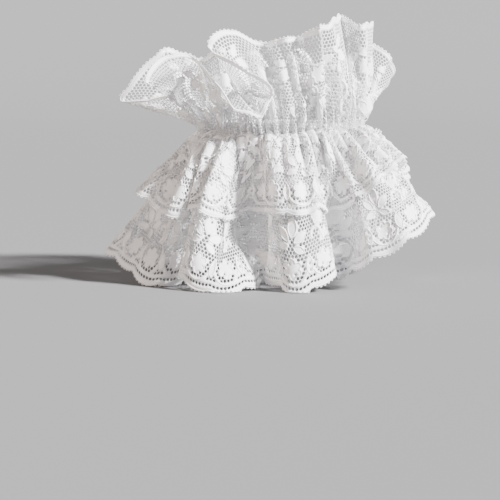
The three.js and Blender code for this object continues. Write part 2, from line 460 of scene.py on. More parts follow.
long_grid[..., 2] = np.maximum(long_grid[..., 2], CLEAR_OF_TABLE)
long_cloth = Cloth(long_grid, LONG_DEPTH, HANGS)
print("long hem", round(long_cloth.length), "mm")

# %% [markdown]
# ## The short strip
# It lies over the long one and follows its folds, so its lines are the long strip's own,
# read only part of the way down. It stands off a little, more so at its hem, and in
# three places the hem has swung out. In two it has ridden up.

# %% Short strip
SHORT_ROWS = 72
SHORT_DEPTH = 44
OFF_AT_SEAM, OFF_BY_PLEATS, OFF_BY_HEM = 0.8, 0.5, 0.5
SHORT_LIFTS = [
    # turn, half width, how far the hem stands off there
    (-92, 48, 6.0),
    (74, 44, 4.5),
    (180, 50, 2.0),
]
SHORT_RIDES = [
    # turn, half width, how far the hem has ridden up there
    (74, 50, 5.0),
    (-16, 50, 3.5),
]


def at_depth(grid, share):
    """The grid's lines read again at other shares of their length, for each column."""
    place = share * (grid.shape[1] - 1)
    low = np.minimum(place.astype(int), grid.shape[1] - 2)
    part = (place - low)[..., None]
    column = np.arange(len(grid))[:, None]
    return grid[column, low] * (1 - part) + grid[column, low + 1] * part


lift = sum(high * near_turn(long_turn, turn, half) for turn, half, high in SHORT_LIFTS)
ride = sum(high * near_turn(long_turn, turn, half) for turn, half, high in SHORT_RIDES)
share = np.linspace(0, 1, SHORT_ROWS)[None]
short_v = share * (SHORT_DEPTH - ride)[:, None]
short_base = at_depth(long_base, short_v / LONG_DEPTH)
short_off = OFF_AT_SEAM + OFF_BY_PLEATS * np.minimum(1, share * 5)
short_off = short_off + (OFF_BY_HEM + lift[:, None]) * share**1.6
short_grid = gather(
    short_base, long_turn, short_v, HANGS, LOWER_SEED, short_off, LOWER_RECESSES, lower_calm
)
short_cloth = Cloth(short_grid, SHORT_DEPTH, HANGS)
print("short hem", round(short_cloth.length), "mm")

# %% [markdown]
# ## The upper strip
# It stands up and flares. In front, one fold rises and rolls right over, so that its hem
# hangs before the gathers like a tongue. Two panels, one on the left and one on the
# right, are pulled flatter beyond the gathers.

# %% Upper strip
UPPER_ROWS = 84
UPPER_DEPTH = 50
UPPER_SEED = 8
UPPER_OFF, UPPER_OFF_GONE = 0.9, 14
UPPER_ROLLS = [
    # turn, half width, how much further it rises
    (-46, 15, 0.4),
]
FLAT_PANELS = [
    # turn, half width, how much of the pleats is gone further out
    (-80, 30, 0.6),
    (62, 32, 0.7),
]
upper_base, upper_turn = fold_grid(UPPER_FOLDS, COLUMNS, UPPER_ROWS, UPPER_ROLLS)
upper_v = np.linspace(0, UPPER_DEPTH, UPPER_ROWS)[None]
upper_off = UPPER_OFF * fade(upper_v, 0, UPPER_OFF_GONE)
flat = sum(gone * near_turn(upper_turn, turn, half) for turn, half, gone in FLAT_PANELS)
upper_calm = flat[:, None] * (1 - fade(upper_v, 12, 28))
upper_grid = gather(
    upper_base, upper_turn, upper_v, STANDS, UPPER_SEED, upper_off, (), upper_calm
)
upper_cloth = Cloth(upper_grid, UPPER_DEPTH, STANDS)
clothes = {"upper": upper_cloth, "short": short_cloth, "long": long_cloth}
print("upper hem", round(upper_cloth.length), "mm")

# %% [markdown]
# ## The lace's pattern
# The pattern is drawn on the flat strip, before gathering: a runs along the hem and h
# is the height above it. Each motif has a signed distance, below zero inside it. That
# one number says where the cloth is closed, draws the edges of the holes back to the
# motif's outline, and tells the shader where cloth ends and net begins. Each motif also
# gives its outline, for the raised cord round it.

# %% Leaves
SLIT_SHARE = 0.55
LEAF_STEPS = 7


def leaf(a, h, turn, long, wide, slit=0.0):
    """A pointed leaf, long and wide, turned from the hem's direction."""
    return {
        "kind": "leaf",
        "a": a,
        "h": h,
        "turn": math.radians(turn),
        "half": long / 2,
        "wide": wide / 2,
        "slit": slit,
    }


def leaf_distance(a, h, spot):
    """The distance to a leaf, which may have a slit for eyelets along its midrib."""
    along, up = math.cos(spot["turn"]), math.sin(spot["turn"])
    s = (a - spot["a"]) * along + (h - spot["h"]) * up
    t = (h - spot["h"]) * along - (a - spot["a"]) * up
    edge = spot["wide"] * (1 - np.clip(s / spot["half"], -1, 1) ** 2)
    past, over = np.abs(s) - spot["half"], np.abs(t) - edge
    outside = np.hypot(np.maximum(past, 0), np.maximum(over, 0))
    whole = outside + np.minimum(np.maximum(past, over), 0)
    slit = np.hypot(np.maximum(np.abs(s) - SLIT_SHARE * spot["half"], 0), t)
    return np.maximum(whole, spot["slit"] - slit)


def leaf_outline(spot):
    """Points round the leaf, along one edge and back by the other."""
    edge = np.linspace(-1, 1, LEAF_STEPS)
    s = np.concatenate([edge, edge[-2:0:-1]])
    t = spot["wide"] * (1 - s**2)
    t[LEAF_STEPS:] *= -1
    s = s * spot["half"]
    along, up = math.cos(spot["turn"]), math.sin(spot["turn"])
    return np.stack([spot["a"] + s * along - t * up, spot["h"] + s * up + t * along], 1)


print("points round a leaf", len(leaf_outline(leaf(0, 0, 0, 8, 4))))

# %% Flowers
PETAL_SLIT, HEART_SHARE = 0.42, 0.42
BETWEEN_PETALS, PETAL_RISE, PETAL_ROUND = 0.66, 0.34, 0.8


def flower(a, h, size, petals, turn):
    """A flower of so many petals, its first notch or petal turned by turn."""
    return {
        "kind": "flower",
        "a": a,
        "h": h,
        "size": size,
        "petals": petals,
        "turn": math.radians(turn),
    }


def petal_wave(angle, spot):
    """1 in the middle of each petal and 0 between two of them."""
    return np.abs(np.cos(spot["petals"] / 2 * (angle - spot["turn"])))


def petal_radius(angle, spot):
    """How far out the petals reach in each direction."""
    rise = PETAL_RISE * petal_wave(angle, spot) ** PETAL_ROUND
    return spot["size"] * (BETWEEN_PETALS + rise)


def flower_distance(a, h, spot):
    """Petals round a closed heart, parted by slits."""
    r = np.hypot(a - spot["a"], h - spot["h"])
    angle = np.arctan2(h - spot["h"], a - spot["a"])
    beside = r * 2 / spot["petals"] * np.arcsin(petal_wave(angle, spot))
    slit = np.maximum(beside, HEART_SHARE * spot["size"] - r)
    return np.maximum(r - petal_radius(angle, spot), PETAL_SLIT - slit)


def flower_outline(spot):
    """Points round the petals, six to a petal."""
    angle = np.linspace(0, 2 * math.pi, 6 * spot["petals"], endpoint=False)
    r = petal_radius(angle, spot)
    return np.stack([spot["a"] + r * np.cos(angle), spot["h"] + r * np.sin(angle)], 1)


print("points round a flower", len(flower_outline(flower(0, 0, 4, 6, 0))))

# %% Arcs and tendrils
ARC_STEP = 1.5
FAR_OFF = 99.0


def arc(a, h, size, start, end, wide, curl=0.0):
    """A band along a circle of radius size, which curl draws in towards its end."""
    start, end = math.radians(start), math.radians(end)
    steps = max(4, int(abs(end - start) * size / ARC_STEP))
    angle = np.linspace(start, end, steps)
    r = size * (1 - curl * np.linspace(0, 1, steps))
    line = np.stack([r * np.cos(angle), r * np.sin(angle)], 1)
    return {"kind": "arc", "a": a, "h": h, "line": line, "wide": wide}


def arc_outline(spot):
    """Points along the middle of the band."""
    return spot["line"] + [spot["a"], spot["h"]]


def arc_distance(a, h, spot):
    """The distance to the band's straight pieces."""
    best = np.full(np.shape(a), FAR_OFF)
    points = arc_outline(spot)
    for (a0, h0), (a1, h1) in zip(points[:-1], points[1:]):
        da, dh = a1 - a0, h1 - h0
        s = np.clip(((a - a0) * da + (h - h0) * dh) / (da * da + dh * dh), 0, 1)
        best = np.minimum(best, np.hypot(a - a0 - s * da, h - h0 - s * dh))
    return best - spot["wide"] / 2


MOTIFS = {
    # how far a place is from it, the path of its cord, whether the path closes
    "leaf": (leaf_distance, leaf_outline, True),
    "flower": (flower_distance, flower_outline, True),
    "arc": (arc_distance, arc_outline, False),
}
print("kinds of motif", ", ".join(MOTIFS))

# %% [markdown]
# ## Three patterns
# On the two lower strips the hems carry the finest work: a closed edge, in each scallop
# a flower in its fan, and a leaf between two scallops. Sprays and tendrils climb from
# there to the elastic. The upper strip is plain net by its edge, with sprays further in.
# Traditional floral lace is laid out like this, and this layout is the lesson's own.

# %% A spray of leaves
SPRAY = [
    # lean off the stalk, how far out, long, wide, slit
    (0, 7.6, 9.6, 5.0, 0.5),
    (52, 5.8, 7.8, 3.9, 0.0),
    (-52, 5.8, 7.8, 3.9, 0.0),
    (112, 4.6, 6.4, 3.0, 0.0),
    (-112, 4.6, 6.4, 3.0, 0.0),
]


def spray(a, h, turn, size):
    """Five leaves on one stalk, from the point a, h."""
    leaves = []
    for lean, out, long, wide, slit in SPRAY:
        way = math.radians(turn + lean)
        middle_a = a + size * out * math.cos(way)
        middle_h = h + size * out * math.sin(way)
        leaves.append(leaf(middle_a, middle_h, turn + lean, size * long, size * wide, slit))
    return leaves


print("leaves in a spray", len(spray(0, 0, 90, 1.0)))

# %% What each strip carries, two scallops wide
FAN_HIGH = 11.2
FIRST_SPRAY, SPRAY_STEP, CLEAR_OF_TOP = 20.0, 15, 5


def lower_pattern(scallop, depth):
    """Motifs of the lower strips over two scallops, centred on a = 0."""
    spots = [leaf(a, FAN_HIGH, 90, 9.0, 3.4, 0.5) for a in (0, scallop)]
    for side in (-1, 1):
        a = side * scallop / 2
        spots += [flower(a, FAN_HIGH, 4.5, 6, 30), arc(a, FAN_HIGH, 7.0, 200, 340, 1.0)]
    height, side = FIRST_SPRAY, 1
    while height < depth - CLEAR_OF_TOP:
        a = side * scallop / 2
        spots += spray(a, height + 1.5, 90 - 10 * side, 0.98)
        spots += [
            flower(-a, height + 10.2, 3.6, 5, 18),
            arc(-a - 3.4, height + 3.2, 3.9, -30, 215, 1.0, 0.5),
            arc(-a + 4.2, height + 1.2, 3.4, 210, 20, 1.0, 0.5),
            leaf(-a + 1.6, height + 1.0, 35, 6.6, 2.8),
            leaf(0, height + 14.0, 90 + 30 * side, 6.8, 2.8),
        ]
        height += SPRAY_STEP
        side = -side
    return spots


def upper_pattern(scallop):
    """Motifs of the upper strip over two scallops, centred on a = 0."""
    a = scallop / 2
    return [
        *spray(-a, 13.5, 78, 1.15),
        flower(a, 20.5, 4.6, 6, 0),
        leaf(a + 6.4, 16.2, -28, 7.6, 3.4),
        leaf(a - 6.2, 23.6, 152, 7.6, 3.4),
        *spray(a, 30.5, 104, 1.0),
        arc(-a + 4, 32, 5, -60, 150, 0.9, 0.4),
        leaf(-a - 3, 38, 60, 8.2, 3.4),
        leaf(-a + 5, 42, -20, 7.0, 2.8),
    ]


# %% [markdown]
# ## A pattern that repeats
# A pattern is drawn for two scallops and then repeated along the strip, as it is on a
# lace machine. Each place of the strip is folded back into the first repeat, so the same
# few motifs serve the whole hem. The hem itself draws in between two scallops.

# %% Reading a pattern
NOTCH_GONE, SCALLOP_ROUND = 14, 0.8


class Pattern:
    """Where the lace is closed, for a strip with a whole number of scallops."""

    def __init__(self, spots, length, scallops, scallop_height, bands):
        self.spots, self.bands = spots, bands
        self.scallop = length / scallops
        self.period = 2 * self.scallop
        # A motif well off the middle may reach past one end, and then shows at the other.
        self.across = [
            dict(spot, a=spot["a"] - math.copysign(self.period, spot["a"]))
            for spot in spots
            if abs(spot["a"]) > self.scallop / 4
        ]
        self.repeats = scallops // 2
        self.scallop_height = scallop_height

    def distance(self, u, h):
        """The distance to the nearest motif or closed band, below 0 inside one."""
        a = np.mod(u, self.period) - self.period / 2
        best = np.full(np.shape(a), FAR_OFF)
        for spot in self.spots + self.across:
            best = np.minimum(best, MOTIFS[spot["kind"]][0](a, h, spot))
        for low, high in self.bands:
            middle, half = (low + high) / 2, (high - low) / 2
            best = np.minimum(best, np.abs(h - middle) - half)
        return best

    def notch(self, u, h):
        """How far the hem draws in between two scallops, fading up the strip."""
        bow = np.abs(np.sin(np.pi * (u / self.scallop))) ** SCALLOP_ROUND
        return self.scallop_height * (1 - bow) * np.clip(1 - h / NOTCH_GONE, 0, 1) ** 2


# %% The three strips' patterns
STRIPS = {
    # scallops, scallop height, closed bands above the hem
    "upper": (34, 1.6, [(-1.0, 1.9)]),
    "short": (30, 2.2, [(-1.0, 1.3)]),
    "long": (36, 2.2, [(-1.0, 1.4), (3.8, 4.6)]),
}
patterns = {}
for word, (scallops, scallop_height, bands) in STRIPS.items():
    cloth = clothes[word]
    scallop = cloth.length / scallops
    spots = upper_pattern(scallop) if word == "upper" else lower_pattern(scallop, cloth.depth)
    patterns[word] = Pattern(spots, cloth.length, scallops, scallop_height, bands)
    motifs = len(spots) * scallops // 2
    print(word, "scallops", round(scallop, 1), "mm wide, motifs in all", motifs)

# %% [markdown]
# ## Knitting the net
# Machine net is a honeycomb of threads. Each cell of the lattice gets a ring of six
# points, and threads run between neighbouring rings. Inside a motif the ring shrinks to
# one point, which closes the cloth and costs few faces. Cutting the holes out of a
# finished sheet with booleans would take hours, and an alpha texture would leave the
# mesh a plain wall.

# %% The lattice
RING = np.radians(30 + 60 * np.arange(6))
ROW_SHARE = 0.866
CLOSED_WITHIN, CLEAR_OF_MOTIF = 0.32, 0.12
MOST_PULL, SHORT_OF_CENTRE = 0.7, 0.8


def lattice(cloth, pattern, pitch, hole):
    """Where each cell's centre and its ring of six points lie on the flat strip."""
    count = round(cloth.length / pitch)
    pitch_u = cloth.length / count
    rows = round(cloth.depth / (ROW_SHARE * pitch))
    i, j = np.meshgrid(np.arange(count), np.arange(rows + 1), indexing="ij")
    u = (i + 0.5 * (j % 2)) * pitch_u
    h = cloth.depth * (1 - j / rows)
    closed = (pattern.distance(u, h) < CLOSED_WITHIN) | (j == 0) | (j == rows)
    reach = hole * pitch / math.sqrt(3)
    ring_u = u[..., None] + reach * np.cos(RING)
    ring_h = h[..., None] + reach * np.sin(RING)
    for _ in range(2):
        pull = CLEAR_OF_MOTIF - pattern.distance(ring_u, ring_h)
        pull = np.clip(pull, 0, MOST_PULL * reach)
        back_u, back_h = u[..., None] - ring_u, h[..., None] - ring_h
        size = np.maximum(np.hypot(back_u, back_h), 1e-6)
        pull = np.minimum(pull, SHORT_OF_CENTRE * size)
        ring_u, ring_h = ring_u + back_u / size * pull, ring_h + back_h / size * pull
    flat_u = np.concatenate([u[..., None], ring_u], 2)
    flat_h = np.concatenate([h[..., None], ring_h], 2)
    return flat_u, flat_h, closed


# %% [markdown]
# ## Faces between the rings
# Between two neighbouring rings lies one thread, a quad. Where three rings meet lies a
# joint, a triangle. A closed cell has all six corners in its centre, so its quads fall
# together into triangles and some vanish, and the same rule makes net and cloth.

# %% Threads and joints
def knitted_faces(closed, first, last):
    """Triangles between the rings, for the cells from column first to column last."""
    count, rows = closed.shape
    i, j = np.meshgrid(np.arange(first, last), np.arange(rows), indexing="ij")

    def corner(i, j, k):
        """The number of corner k of the cell i, j, where a closed cell has its centre."""
        i = i % count
        return (i * rows + j) * 7 + np.where(closed[i, j], 0, k + 1)

    up = j > 0
    every = np.ones_like(up)
    above = np.maximum(j - 1, 0)
    east = (i + 1, j)
    north_east = (i + j % 2, above)
    north_west = (i + j % 2 - 1, above)
    quads = [
        (every, corner(i, j, 5), corner(*east, 3), corner(*east, 2), corner(i, j, 0)),
        (up, corner(i, j, 0), corner(*north_east, 4), corner(*north_east, 3), corner(i, j, 1)),
        (up, corner(i, j, 1), corner(*north_west, 5), corner(*north_west, 4), corner(i, j, 2)),
    ]
    faces = []
    for use, a, b, c, d in quads:
        faces += [np.stack([a, b, c], -1)[use], np.stack([a, c, d], -1)[use]]
    joints = [
        (corner(i, j, 0), corner(*east, 2), corner(*north_east, 4)),
        (corner(i, j, 1), corner(*north_east, 3), corner(*north_west, 5)),
    ]
    faces += [np.stack(joint, -1)[up] for joint in joints]
    faces = np.concatenate(faces)
    a, b, c = faces.T
    return faces[(a != b) & (b != c) & (c != a)]


def flat_area(faces, u, h, length):
    """The area of thread and motif in the flat strip, in square millimetres."""
    a, b, c = faces.T
    ab, ac = u[b] - u[a], u[c] - u[a]
    ab, ac = ab - length * np.round(ab / length), ac - length * np.round(ac / length)
    return np.abs(ab * (h[c] - h[a]) - ac * (h[b] - h[a])).sum() / 2


# %% [markdown]
# ## From a sheet to a closed solid
# Thread has a thickness, and a mesh that is printed or weighed has to be closed. So the
# sheet is doubled, half the thickness to either side, and wherever an edge is open, at a
# hole or at the hem, a wall joins the two. Solidify could do this too. Here the
# thickness follows the distance to a motif, which is known, so a few lines do it.

# %% Doubling the sheet
def closed_shell(faces, points, normals, thick, side):
    """Both faces of the sheet, with walls round every hole and edge."""
    if side < 0:
        faces = faces[:, ::-1]
    used, faces = np.unique(faces, return_inverse=True)
    faces = faces.reshape(-1, 3)
    half = thick[used, None] / 2
    top = points[used] + normals[used] * half
    bottom = points[used] - normals[used] * half
    count = len(used)
    edges = np.concatenate([faces[:, [0, 1]], faces[:, [1, 2]], faces[:, [2, 0]]])
    keys = edges[:, 0] * count + edges[:, 1]
    against = edges[:, 1] * count + edges[:, 0]
    a, b = edges[~np.isin(keys, against)].T
    walls = [np.stack([b, a, a + count], 1), np.stack([b, a + count, b + count], 1)]
    shell = np.concatenate([faces, faces[:, ::-1] + count, *walls])
    return np.concatenate([top, bottom]), shell, used


# %% [markdown]
# ## From arrays to a mesh
# A strip has one to three hundred thousand triangles, so they go to Blender in whole
# arrays, which is far quicker than a list of faces. The flat strip's own measures
# go along as a UV map, and the distance to the nearest motif as an attribute, for the
# material to read.

# %% A mesh object
def mesh_object(name, points, faces, attributes=(), uv=None):
    """A smooth mesh object at the origin, from points in millimetres round the axis."""
    mesh = bpy.data.meshes.new(name)
    mesh.vertices.add(len(points))
    placed = (points + [axis_x, axis_y, 0]) * MM
    mesh.vertices.foreach_set("co", placed.astype(np.float32).ravel())
    mesh.loops.add(faces.size)
    mesh.loops.foreach_set("vertex_index", faces.astype(np.int32).ravel())
    mesh.polygons.add(len(faces))
    mesh.polygons.foreach_set("loop_start", np.arange(0, faces.size, 3, dtype=np.int32))
    mesh.polygons.foreach_set("loop_total", np.full(len(faces), 3, np.int32))
    mesh.polygons.foreach_set("use_smooth", np.ones(len(faces), bool))
    for word, values in attributes:
        layer = mesh.attributes.new(word, "FLOAT", "POINT")
        layer.data.foreach_set("value", values.astype(np.float32))
    if uv is not None:
        layer = mesh.uv_layers.new(name="flat_strip")
        layer.data.foreach_set("uv", uv[faces.ravel()].astype(np.float32).ravel())
    mesh.update(calc_edges=True)
    piece = bpy.data.objects.new(name, mesh)
    bpy.context.scene.collection.objects.link(piece)
    return piece


# %% [markdown]
# ## One strip in a few pieces
# Now a strip can be knitted: the lattice on the flat strip, its points laid on the
# cloth, its faces, and its two sides. The closed motifs are a little thicker than the
# net, because more yarn lies in them.

# %% Knit a strip
NET_THICK, MOTIF_THICK, THICK_FADES = 0.26, 0.4, 0.5
UV_STEP = 10
FAR_FROM_MOTIF = 1.5


def knit(word, cloth, pattern, pitch, hole, parts, join):
    """The strip's lace, in a few pieces. join is where along the hem the first begins."""
    flat_u, flat_h, closed = lattice(cloth, pattern, pitch, hole)
    u, h = flat_u.ravel(), flat_h.ravel()
    v = cloth.depth - h - pattern.notch(u, h)
    near = pattern.distance(u, h)
    points, normals = cloth.at(u, v), cloth.facing(u, v)
    thick = NET_THICK + (MOTIF_THICK - NET_THICK) * fade(near, 0.0, THICK_FADES)
    uv = np.stack([u, h], 1) / UV_STEP
    cuts = ((join + np.linspace(0, 1, parts + 1)) * len(closed)).round().astype(int)
    pieces = []
    for part, (first, last) in enumerate(zip(cuts[:-1], cuts[1:])):
        faces = knitted_faces(closed, first, last)
        solid, shell, used = closed_shell(faces, points, normals, thick, cloth.side)
        solid[:, 2] = np.maximum(solid[:, 2], 0.0)
        twice = np.concatenate([used, used])
        name = f"{word}_lace_{part + 1}"
        near_motif = np.clip(near[twice], -FAR_FROM_MOTIF, FAR_FROM_MOTIF)
        piece = mesh_object(name, solid, shell, [("near_motif", near_motif)], uv[twice])
        area = flat_area(faces, u, h, cloth.length)
        pieces.append((piece, area))
        share = area / (cloth.length / parts * cloth.depth)
        print(name, "triangles", len(shell), "closed share of the flat strip", round(share, 2))
    return pieces


# %% [markdown]
# ## The grain of the yarn
# White nylon is bright and a little glossy, with courses of yarn in the closed parts.
# Two lace materials share that grain, so it is a shader group, built once. It reads the
# flat strip's own coordinates, so the courses follow the cloth round each fold.

# %% Yarn grain group
def yarn_group():
    """Courses and fuzz as a height, and a slow unevenness as a shade."""
    group = bpy.data.node_groups.new("yarn grain", "ShaderNodeTree")
    socket = group.interface.new_socket
    socket("Strip", in_out="INPUT", socket_type="NodeSocketVector")
    socket("Courses", in_out="INPUT", socket_type="NodeSocketFloat")
    socket("Height", in_out="OUTPUT", socket_type="NodeSocketFloat")
    socket("Shade", in_out="OUTPUT", socket_type="NodeSocketFloat")
    nodes, links = group.nodes, group.links
    inward, outward = nodes.new("NodeGroupInput"), nodes.new("NodeGroupOutput")
    wave = nodes.new("ShaderNodeTexWave")
    wave.wave_type, wave.bands_direction = "BANDS", "X"
    wave.inputs["Distortion"].default_value = 2.5
    wave.inputs["Detail"].default_value = 2.0
    wave.inputs["Detail Scale"].default_value = 1.5
    links.new(inward.outputs["Strip"], wave.inputs["Vector"])
    links.new(inward.outputs["Courses"], wave.inputs["Scale"])
    fuzz = nodes.new("ShaderNodeTexNoise")
    fuzz.inputs["Scale"].default_value = 9.0
    fuzz.inputs["Detail"].default_value = 5.0
    links.new(inward.outputs["Strip"], fuzz.inputs["Vector"])
    height = nodes.new("ShaderNodeMath")
    height.operation = "MULTIPLY_ADD"
    links.new(fuzz.outputs["Fac"], height.inputs[0])
    height.inputs[1].default_value = 0.6
    links.new(wave.outputs["Fac"], height.inputs[2])
    links.new(height.outputs[0], outward.inputs["Height"])
    slow = nodes.new("ShaderNodeTexNoise")
    slow.inputs["Scale"].default_value = 0.8
    slow.inputs["Detail"].default_value = 3.0
    links.new(inward.outputs["Strip"], slow.inputs["Vector"])
    links.new(slow.outputs["Fac"], outward.inputs["Shade"])
    return group


yarn = yarn_group()
print("nodes in the yarn grain", len(yarn.nodes))

# %% [markdown]
# ## Three small helpers for materials
# Every material of the cuff blends two colours and turns a height into bumps, and the
# lace stretches a value to a wider range first. Each of these is one node with its
# links, and is written once.

# %% Blend, range and bump
def mixed(nodes, links, a, b, factor):
    """A colour between a and b, each a colour or a socket, by the factor's socket."""
    mix = nodes.new("ShaderNodeMix")
    mix.data_type = "RGBA"
    for word, value in (("A", a), ("B", b)):
        if isinstance(value, tuple):
            mix.inputs[word].default_value = (*value, 1)
        else:
            links.new(value, mix.inputs[word])
    links.new(factor, mix.inputs["Factor"])
    return mix.outputs["Result"]


def ranged(nodes, links, value, low, high, top):
    """The value's socket mapped so that low gives 0 and high gives top."""
    node = nodes.new("ShaderNodeMapRange")
    node.inputs["From Min"].default_value = low
    node.inputs["From Max"].default_value = high
    node.inputs["To Max"].default_value = top
    links.new(value, node.inputs["Value"])
    return node.outputs["Result"]


def bumped(nodes, links, height, strength, deep, bsdf):
    """A bump from the height's socket, on the shader's normal."""
    bump = nodes.new("ShaderNodeBump")
    bump.inputs["Strength"].default_value = strength
    bump.inputs["Distance"].default_value = deep * MM
    links.new(height, bump.inputs["Height"])
    links.new(bump.outputs["Normal"], bsdf.inputs["Normal"])


# %% [markdown]
# ## Lace
# The open net is painted a touch greyer than closed cloth. This grey is painted shade: a thread
# is all edge, and falls into shade more than closed cloth. The mesh carries the distance to the
# nearest motif as an attribute, and it blends the two colours. A little sheen and scattering keep
# the white soft.

# %% Lace material
def white_lace(name, net, cloth, shade):
    """Nylon whose open net is painted a touch greyer than its closed motifs, as painted shade."""
    material = bpy.data.materials.new(name)
    material.use_nodes = True
    nodes, links = material.node_tree.nodes, material.node_tree.links
    bsdf = nodes["Principled BSDF"]
    bsdf.inputs["Roughness"].default_value = 0.5
    bsdf.inputs["Specular IOR Level"].default_value = 0.4
    bsdf.inputs["Sheen Weight"].default_value = 0.25
    bsdf.inputs["Sheen Roughness"].default_value = 0.4
    bsdf.inputs["Subsurface Weight"].default_value = 0.12
    bsdf.inputs["Subsurface Radius"].default_value = (1.0, 0.95, 0.9)
    bsdf.inputs["Subsurface Scale"].default_value = 1.2 * MM
    strip = nodes.new("ShaderNodeUVMap")
    strip.uv_map = "flat_strip"
    grain = nodes.new("ShaderNodeGroup")
    grain.node_tree = yarn
    grain.inputs["Courses"].default_value = 7.0
    links.new(strip.outputs["UV"], grain.inputs["Strip"])
    near = nodes.new("ShaderNodeAttribute")
    near.attribute_name = "near_motif"
    motif = ranged(nodes, links, near.outputs["Fac"], 0.5, -0.1, 1.0)
    uneven = ranged(nodes, links, grain.outputs["Shade"], 0.45, 0.8, 0.5)
    # The net's colour is painted shade; the closed cloth keeps the yarn's own white.
    colour = mixed(nodes, links, net, cloth, motif)
    links.new(mixed(nodes, links, colour, shade, uneven), bsdf.inputs["Base Color"])
    bumped(nodes, links, grain.outputs["Height"], 0.35, 0.12, bsdf)
    return material


# In each, the first colour is the net's painted shade, greyer than the closed cloth's white; the
# upper net gets more.
lower_white = white_lace("lower lace", (0.86, 0.86, 0.88), (0.95, 0.95, 0.96), (0.84, 0.84, 0.88))
upper_white = white_lace("upper lace", (0.82, 0.82, 0.84), (0.95, 0.95, 0.96), (0.80, 0.80, 0.83))
print("lace materials", lower_white.name, "and", upper_white.name)

# %% [markdown]
# ## Cord, stitching and elastic
# These are yarn too, but twisted tight or knitted dense, and too thin for courses to
# show. A fine twist is enough, in one more group that all three materials share. It
# reads Object coordinates, because these pieces have no flat strip of their own.

# %% Thread twist group
def twist_group():
    """The fine unevenness of twisted thread, by how many humps lie in a metre."""
    group = bpy.data.node_groups.new("thread twist", "ShaderNodeTree")
    socket = group.interface.new_socket
    socket("Place", in_out="INPUT", socket_type="NodeSocketVector")
    socket("Fineness", in_out="INPUT", socket_type="NodeSocketFloat")
    socket("Twist", in_out="OUTPUT", socket_type="NodeSocketFloat")
    nodes, links = group.nodes, group.links
    inward, outward = nodes.new("NodeGroupInput"), nodes.new("NodeGroupOutput")
    twist = nodes.new("ShaderNodeTexNoise")
    twist.inputs["Detail"].default_value = 3.0
    links.new(inward.outputs["Place"], twist.inputs["Vector"])
    links.new(inward.outputs["Fineness"], twist.inputs["Scale"])
    links.new(twist.outputs["Fac"], outward.inputs["Twist"])
    return group


twists = twist_group()
print("nodes in the thread twist", len(twists.nodes))


# %% Thread materials
def plain_thread(name, colour, roughness, fineness):
    """White yarn with a fine twist, with painted shade a tenth darker in its grooves."""
    material = bpy.data.materials.new(name)
    material.use_nodes = True
    nodes, links = material.node_tree.nodes, material.node_tree.links
    bsdf = nodes["Principled BSDF"]
    bsdf.inputs["Roughness"].default_value = roughness
    bsdf.inputs["Sheen Weight"].default_value = 0.2
    place = nodes.new("ShaderNodeTexCoord")
    twist = nodes.new("ShaderNodeGroup")
    twist.node_tree = twists
    twist.inputs["Fineness"].default_value = fineness
    links.new(place.outputs["Object"], twist.inputs["Place"])
    # Painted shade: the twist's grooves are a tenth darker than the yarn's white.
    groove_shade = tuple(c * 0.9 for c in colour)
    shaded = mixed(nodes, links, groove_shade, colour, twist.outputs["Twist"])
    links.new(shaded, bsdf.inputs["Base Color"])
    bumped(nodes, links, twist.outputs["Twist"], 0.4, 0.1, bsdf)
    return material


cord_white = plain_thread("raised cord", (0.97, 0.97, 0.98), 0.42, 4000)
stitch_white = plain_thread("gathering thread", (0.93, 0.93, 0.94), 0.55, 5000)
elastic_yarn = plain_thread("elastic yarn", (0.90, 0.90, 0.90), 0.7, 2500)
print("thread materials", cord_white.name, "and", stitch_white.name, "and", elastic_yarn.name)

# %% [markdown]
# ## The three strips of lace
# Each strip is knitted over its cloth. A strip with more faces than one piece should
# hold is made in parts, as real lace is joined at side seams. The upper strip's net is
# a little coarser. Where its first join lies was chosen so that each part has its share
# of flat panels and of folds.

# %% Knit
NETS = {
    # pitch of the net, size of a hole, parts, where the first join lies along the hem
    "upper": (1.9, 0.81, 2, 0.2),
    "short": (1.75, 0.82, 1, 0.0),
    "long": (1.75, 0.82, 3, 0.1),
}
laces = {}
for word, cloth in clothes.items():
    laces[word] = knit(word, cloth, patterns[word], *NETS[word])
    for piece, area in laces[word]:
        piece.data.materials.append(upper_white if word == "upper" else lower_white)

# %% [markdown]
# ## Raised cords
# On real lace of this kind a thicker cord outlines each motif and runs along the hem.
# Its path is the motif's own outline, laid on the cloth. A curve object with a bevel
# would do for one cord, but there are well over a thousand here. One Geometry Nodes tree
# sweeps a ring of a few sides along all of them at once.

